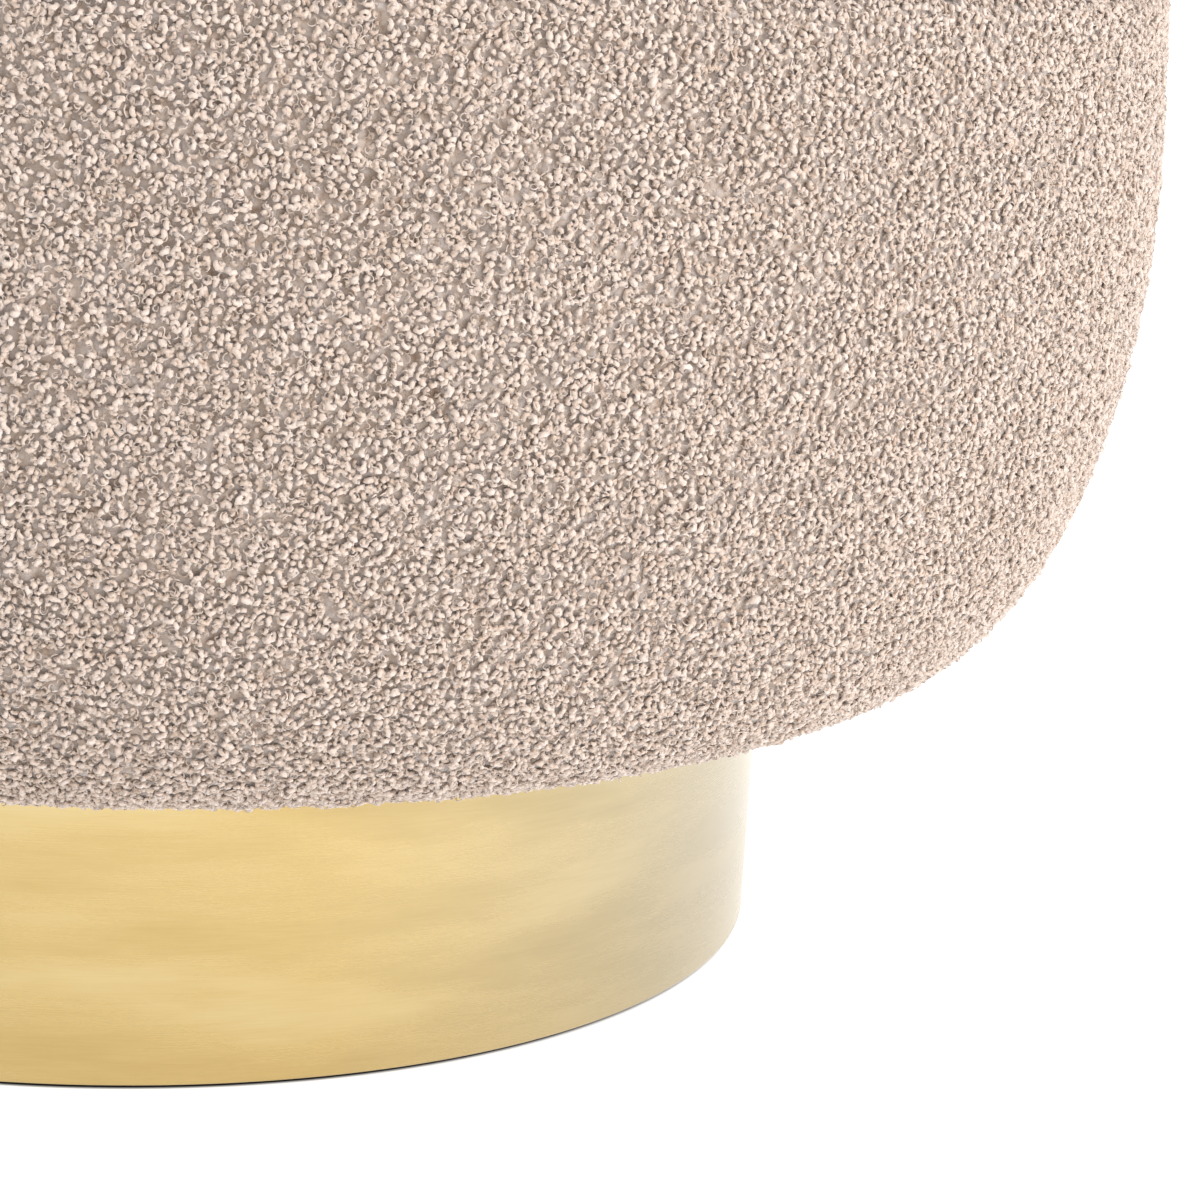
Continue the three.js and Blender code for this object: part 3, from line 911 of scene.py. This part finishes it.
def side_foam_outline():
    """Between the tub and the cover, from under the body up to the rim ring, with a step beside the ring."""
    ring_z = wall_high.z + GAP
    inner, beside = TUB_RADIUS + GAP, RIM_RING_RADIUS + GAP
    skin = body_outline(COVER + GAP)
    outside = skin[: int(np.argmax(skin[:, 1])) + 1]
    outside = outside[outside[:, 0] > inner]
    top = [[beside, outside[-1, 1]], [beside, ring_z - GAP], [inner, ring_z - GAP]]
    start = [[inner, foam_low.z]]
    return resample(np.concatenate([start, outside, top, start]), 4 * MM)[:-1]


def rim_pad_outline():
    low, high = rim_pad_low.z, rim_pad_high.z
    inner, outer = RIM_PAD_INNER_RADIUS, RIM_RING_RADIUS
    corners = [[inner, low], [outer, low], [outer, high], [inner, high]]
    return rounded(corners, RIM_CORNER - COVER - GAP, 2.5 * MM)


def lid_foam_outline():
    radius, base = lid_foam_high.x, lid_foam_low.z
    crown = superellipse(0, radius, LID_SHOULDER_Z, lid_foam_high.z - LID_SHOULDER_Z, LID_ROUNDNESS)
    return resample(np.concatenate([[[0, base], [radius, base]], crown]), 4 * MM)


def wadding_outline():
    """Over the lid's foam, from the middle of its inside down to its edge and back over its outside."""
    inset = COVER + GAP
    span = LID_RADIUS - inset - WADDING
    height = LID_TOP_Z - inset - WADDING - LID_SHOULDER_Z
    inside = superellipse(0, span, LID_SHOULDER_Z, height, LID_ROUNDNESS)[::-1]
    outside = lid_outline(inset, lid_foam_high.x + 2 * GAP)
    return np.concatenate([resample(inside, 4 * MM), resample(outside, 4 * MM)])


def add_padding():
    """Foam and wadding, a little uneven, each in the place that its CAD solid holds."""
    rough = Lumps(9 * MM, 21)

    def lift(points):
        return 0.12 * MM * rough.at(points)

    solids = [
        ("side_foam_block", side_foam_outline(), "base", "side_foam", "foam", foam, 0.9),
        ("rim_pad_strip", rim_pad_outline(), "base", "rim_pad", "foam", foam, 0.9),
        ("lid_foam_block", lid_foam_outline(), "lid", "lid_foam", "foam", foam, 0.95),
        ("lid_wadding_wrap", wadding_outline(), "lid", "lid_wadding", "wadding", wadding, 0.7),
    ]
    for name, rows, body, node, slot, finish, fill in solids:
        made = piece(turned(name, rows, PADDING_COLUMNS, lift), body, node, finish)


def add_well_lining():
    """The well's lining, gently puckered, with one sewn seam at the back."""
    pucker = Lumps((14 * MM, 14 * MM, 70 * MM), 22)
    outer, inner = well_high.x, well_high.x - 1.5 * MM
    low, high = well_low.z, well_high.z
    wall = rounded([[inner, high], [inner, low], [outer, low], [outer, high]], 0.5 * MM, 1.2 * MM)
    inside = (wall[:, 0] < outer - 0.6 * MM).astype(float)[:, None]

    def wall_lift(points):
        angle = np.arctan2(points[..., 1], points[..., 0]) - math.pi / 2
        seam = np.exp(-((angle * inner / (1.3 * MM)) ** 2))
        return inside * (0.35 * MM * (1 + pucker.at(points)) + 0.9 * MM * seam)

    made = turned("well_lining_cloth", wall, LINING_COLUMNS, wall_lift)
    piece(made, "base", "well_lining", wall_lining)


def add_well_cushion():
    """The soft pad on the well's floor: crowned above and flat below."""
    low, high, radius = floor_pad_low.z, floor_pad_high.z, floor_pad_high.x
    edge = low + 0.45 * (high - low)
    top = superellipse(0, radius, edge, high - edge, 5, 200)
    under = superellipse(0, radius, edge, low - edge, 9, 60)[::-1]
    rows = resample(np.concatenate([under, top[1:]]), 2 * MM)
    soft = Lumps((30 * MM, 30 * MM, 30 * MM), 23)
    on_top = (rows[:, 1] > edge)[:, None]

    def pad_lift(points):
        return on_top * 0.5 * MM * (soft.at(points) - 1)

    made = turned("well_floor_cushion", rows, CUSHION_COLUMNS, pad_lift)
    piece(made, "base", "well_floor_pad", floor_lining)


def add_dust_cloths():
    """Black spunbond under the floor board and under the lid's board, a little slack between its staples."""
    slack = Lumps((35 * MM, 35 * MM, 35 * MM), 24)
    cloths = (("underside_lining", "base", "floor_board"), ("lid_lining", "lid", "lid_board"))
    for node, body, board in cloths:
        low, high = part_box(node)
        middle = (low.z + high.z) / 2
        half = (high.z - low.z) / 2
        bottom = [[radius, low.z] for radius in np.arange(0, high.x - half, 3 * MM)]
        rows = np.concatenate([
            bottom,
            arc(high.x - half, middle, half, -90, 90, 5),
            [[high.x / 2, high.z], [0, high.z]],
        ])
        below = (rows[:, 1] < middle)[:, None]

        def lift(points):
            return below * 0.25 * MM * (slack.at(points) - 1)

        made = turned(node + "_cloth", rows, DUST_CLOTH_COLUMNS, lift)
        piece(made, body, node, dust_cloth)


add_band()
add_padding()
add_well_lining()
add_well_cushion()
add_dust_cloths()

# ---- the covers' areas and lengths ----

def declare_covers():
    """The two covers' skin areas and outline lengths, worked out here and not used."""
    body_area = skin_area(resample(body_outline(), 2 * MM))
    body_length = float(along(body_outline())[-1])
    lid_area = skin_area(resample(lid_outline(), 2 * MM))
    lid_length = float(along(lid_outline())[-1])


declare_covers()

# ---- finishes for the CAD nodes that stay ----
STAYING = {
    "plinth_wall": bent_plywood, "tub_wall": bent_plywood, "rim_ring": flat_plywood,
    "plinth_bottom_board": flat_plywood, "plinth_top_board": flat_plywood, "floor_board": flat_plywood,
    "lid_board": flat_plywood, "lid_locating_ring": flat_plywood,
    "plinth_post_": flat_plywood, "glide_": glide, "plinth_bolt_": steel, "tee_nut_": steel,
    "lid_ring_screw_": steel,
}
for name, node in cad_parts.items():
    finish = next((STAYING[start] for start in STAYING if name.startswith(start)), None)
    if finish is not None:
        node.data.materials.clear()
        node.data.materials.append(finish)


# ---- stage ----

def add_floor():
    """A white floor, bright of itself so that it stays pale in the shade, with a painted shadow, nearly
    black, under the plinth.
    """
    bpy.ops.mesh.primitive_plane_add(size=30)
    floor = bpy.context.object
    floor.name = "floor"
    made = Finish("floor_white")
    clear_of_painted_shadow = made.between(made.from_axis(), PLINTH_RADIUS - 2.5 * MM, PLINTH_RADIUS - 0.5 * MM)
    made.set(
        # painted shadow: under the plinth the floor is nearly black and gives no light of its own
        Base_Color=made.mix(clear_of_painted_shadow, (0.02, 0.02, 0.02, 1), (0.9, 0.9, 0.9, 1)),
        Roughness=0.9,
        Emission_Color=(1, 1, 1, 1),
        Emission_Strength=made.math("MULTIPLY", clear_of_painted_shadow, 0.5),
    )
    floor.data.materials.append(made.material)


def area_light(name, place, aim, size, power, colour=(1, 1, 1)):
    data = bpy.data.lights.new(name, "AREA")
    data.energy = power
    data.size = size
    data.color = colour
    lamp = bpy.data.objects.new(name, data)
    lamp.location = place
    lamp.rotation_euler = (Vector(aim) - Vector(place)).to_track_quat("-Z", "Y").to_euler()
    bpy.context.scene.collection.objects.link(lamp)


def add_camera():
    data = bpy.data.cameras.new("camera")
    data.lens = CAMERA_LENS_MM
    data.sensor_width = SENSOR_MM
    camera = bpy.data.objects.new("camera", data)
    camera.location = (0, -CAMERA_DISTANCE, CAMERA_HEIGHT)
    ahead = Vector((
        math.sin(CAMERA_YAW) * math.cos(CAMERA_PITCH),
        math.cos(CAMERA_YAW) * math.cos(CAMERA_PITCH),
        -math.sin(CAMERA_PITCH),
    ))
    turn = ahead.to_track_quat("-Z", "Y").to_matrix() @ Matrix.Rotation(CAMERA_ROLL, 3, "Z")
    camera.rotation_euler = turn.to_euler()
    bpy.context.scene.collection.objects.link(camera)
    bpy.context.scene.camera = camera


def add_world():
    world = bpy.data.worlds.new("studio")
    world.use_nodes = True
    back = world.node_tree.nodes["Background"]
    back.inputs["Color"].default_value = (1, 1, 1, 1)
    back.inputs["Strength"].default_value = 1.0
    bpy.context.scene.world = world


add_floor()
add_camera()
add_world()
area_light("key", (-1.2, -1.5, 1.9), (0, 0, 0.2), 0.9, 10)
area_light("fill", (1.7, -1.2, 0.9), (0, 0, 0.2), 1.2, 36, (1.0, 0.985, 0.98))
bpy.context.scene.view_settings.view_transform = "Standard"
